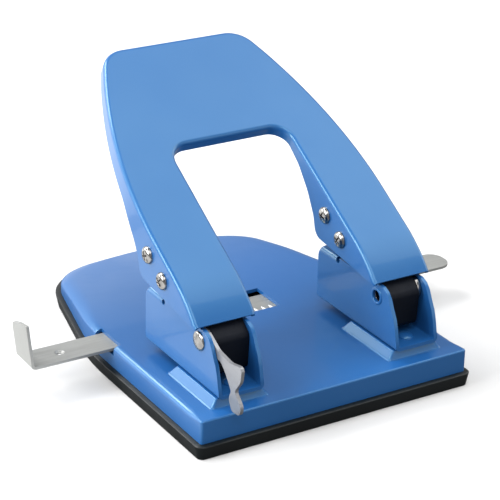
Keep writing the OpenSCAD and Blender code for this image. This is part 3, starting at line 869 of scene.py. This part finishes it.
def guide():
    """One strip, bent up at its left end into the stop that the paper meets."""
    top, across = GUIDE_Z + TAB_H + 3, GUIDE_T / cos(LEAN)
    far = GUIDE_LEFT - (TAB_H + 3) * tan(LEAN)
    bend = GUIDE_LEFT + across - GUIDE_T * tan(LEAN)
    side = rounded([(GUIDE_RIGHT + 1, GUIDE_Z, 0), (GUIDE_RIGHT + 1, GUIDE_Z + GUIDE_T, 0),
                    (bend, GUIDE_Z + GUIDE_T, 0.9), (far + across, top, 0),
                    (far, top, 0), (GUIDE_LEFT, GUIDE_Z, 0.9 + GUIDE_T)], 10)
    y0, y1 = GUIDE_Y, GUIDE_Y + GUIDE_W
    strip = prism(side, lambda x, z, y: (x, y, z), y0, y1)
    ends = rounded([(GUIDE_LEFT - 9, y0, 0), (GUIDE_RIGHT, y0, 6), (GUIDE_RIGHT, y1, 6),
                    (GUIDE_LEFT - 9, y1, 0)], 12)
    tab_top = GUIDE_Z + TAB_H
    tab = rounded([(y0, 5, 0), (y0, tab_top, 0.6), (y0 + GUIDE_W * 0.5, tab_top - 1.2, 12),
                   (y1, tab_top - 3.8, 2.5), (y1, 5, 0)], 8)
    strip = carved(strip, [prism(ends, upright, 5, 60), prism(tab, sideways, -120, 120)], "INTERSECT")
    r = 1.2 * sqrt(0.5)
    notches = [prism([(x - r, y0), (x, y0 - r), (x + r, y0), (x, y0 + r)], upright, 10, 16)
               for x in range(-16, 25, 4)]
    sink = moved(lathe([(0.8, 10.0), (0.8, 13.0), (2.2, 14.0), (2.2, 14.6)]), -80, GUIDE_Y + 6.9)
    return bevel_edges(carved(strip, [merge(notches), sink]), 0.18, 2, 40)


def size_marks():
    """White arrowheads along the strip. How many there are is guessed."""
    base, tip, top = -6.6, -3.7, GUIDE_Z + GUIDE_T
    out = []
    for k in range(12):
        x = -17.0 + 3.5 * k
        corners = ((x - 0.9, base), (x + 0.9, base), (x + 0.12, tip), (x - 0.12, tip))
        out.append(prism(corners, upright, top - 0.1, top + 0.05))
    return merge(out)


add("guide_strip", guide(), "paper_guide", guide_steel, ["paper_guide"])
add("guide_size_marks", size_marks(), "paper_guide", white_mark)

# The press levers take the near-black steel, which is partly their own finish and partly painted shade of
# the tower insides.
for node, material, slot, body in (
        ("left_press_lever", black_steel, "black_steel", "handle"),
        ("right_press_lever", black_steel, "black_steel", "handle"),
        ("left_die", tool_steel, "tool_steel", "base"),
        ("right_die", tool_steel, "tool_steel", "base"),
        ("pivot_spacer", nickel, "bright_steel", "base"),
        ("guide_straps", tool_steel, "tool_steel", "base"),
        ("guide_leaf_spring", nickel, "bright_steel", "base")):
    add(node + "_finished", refined(node, 0.15 if "leaf" in node else 0.35), body, material, [node])

# ---------------------------------------------------------------- floor, light and camera


def floor():
    """Plain pale floor. Only the camera sees its full tone, so that it lights the underside less."""
    steps = span(-2500, 2500, 10)
    sheet = build(*grid([[(x, y, -0.02) for y in steps] for x in steps]))
    obj = bpy.data.objects.new("floor", finish_mesh(sheet, "floor"))
    scene.collection.objects.link(obj)
    s = Shader("pale_floor", Roughness=0.9, Specular_IOR_Level=0.1)
    seen = s.ramp(s.noise(3.0, 3.0), [(0.3, (0.57, 0.57, 0.57)), (0.7, (0.59, 0.59, 0.59))])
    mix = s.node("ShaderNodeMix", data_type="RGBA")
    mix.inputs["A"].default_value = (0.15, 0.15, 0.15, 1)
    s.link(s.node("ShaderNodeLightPath").outputs["Is Camera Ray"], mix.inputs["Factor"])
    s.link(seen, mix.inputs["B"])
    s.set("Base Color", mix.outputs["Result"])
    obj.data.materials.append(s.material)


def area_light(name, place, size, energy, target=(0, 0, 0.05)):
    """A white rectangular light that faces target."""
    data = bpy.data.lights.new(name, "AREA")
    data.shape, data.size, data.size_y = "RECTANGLE", size[0], size[1]
    data.energy = energy
    obj = bpy.data.objects.new(name, data)
    scene.collection.objects.link(obj)
    obj.location = place
    obj.rotation_euler = (Vector(target) - Vector(place)).to_track_quat("-Z", "Y").to_euler()
    return obj


floor()
world = bpy.data.worlds.new("studio")
scene.world = world
world.use_nodes = True
world.node_tree.nodes["Background"].inputs["Color"].default_value = (1, 1, 1, 1)
world.node_tree.nodes["Background"].inputs["Strength"].default_value = 0.42
area_light("overhead", (0.52, -0.08, 1.20), (0.85, 1.20), 8.2)
area_light("rear_high", (-0.45, 0.85, 1.00), (0.6, 0.6), 17.0)
area_light("key", (-0.32, -0.72, 1.12), (0.8, 0.7), 8.2)
area_light("left", (-1.10, 0.12, 0.57), (0.75, 0.65), 19.0)
area_light("left_rear", (-0.745, 0.955, 0.30), (0.62, 0.40), 3.4)
area_light("backdrop", (-0.10, 1.25, 0.36), (1.60, 0.68), 2.3)
area_light("front", (0.50, -1.25, 0.60), (1.2, 0.5), 2.5)
area_light("front_low", (0.75, -1.35, 0.22), (1.0, 0.35), 1.5)
area_light("right", (1.20, -0.10, 0.60), (0.8, 0.8), 6.0)
for name, x, y, w, d, energy in (("floor_card_near", -0.32, 0.0, 0.50, 0.25, 0.5),
                                 ("floor_card_far", -0.20, 0.45, 0.75, 0.60, 2.2)):
    card = area_light(name, (x, y, 0.003), (w, d), energy, (x, y, 1.0))
    card.visible_camera = False
scene.view_settings.view_transform = "Standard"

AZ, EL, ROLL = radians(-31.7), radians(24.27), radians(1.32)
CAMERA_AT, LENS_MM, SENSOR_MM = (-0.3682, -0.6078, 0.3611), 137.9, 36.0
back = Vector((sin(AZ) * cos(EL), -cos(AZ) * cos(EL), sin(EL)))
right = Vector((0, 0, 1)).cross(back).normalized()
up = back.cross(right)
cam_x = cos(ROLL) * right + sin(ROLL) * up
cam_y = -sin(ROLL) * right + cos(ROLL) * up
camera_data = bpy.data.cameras.new("camera")
camera_data.sensor_width = SENSOR_MM
camera_data.lens = LENS_MM
camera = bpy.data.objects.new("camera", camera_data)
scene.collection.objects.link(camera)
turn = Matrix((cam_x, cam_y, back)).transposed()
camera.matrix_world = Matrix.Translation(CAMERA_AT) @ turn.to_4x4()
scene.camera = camera
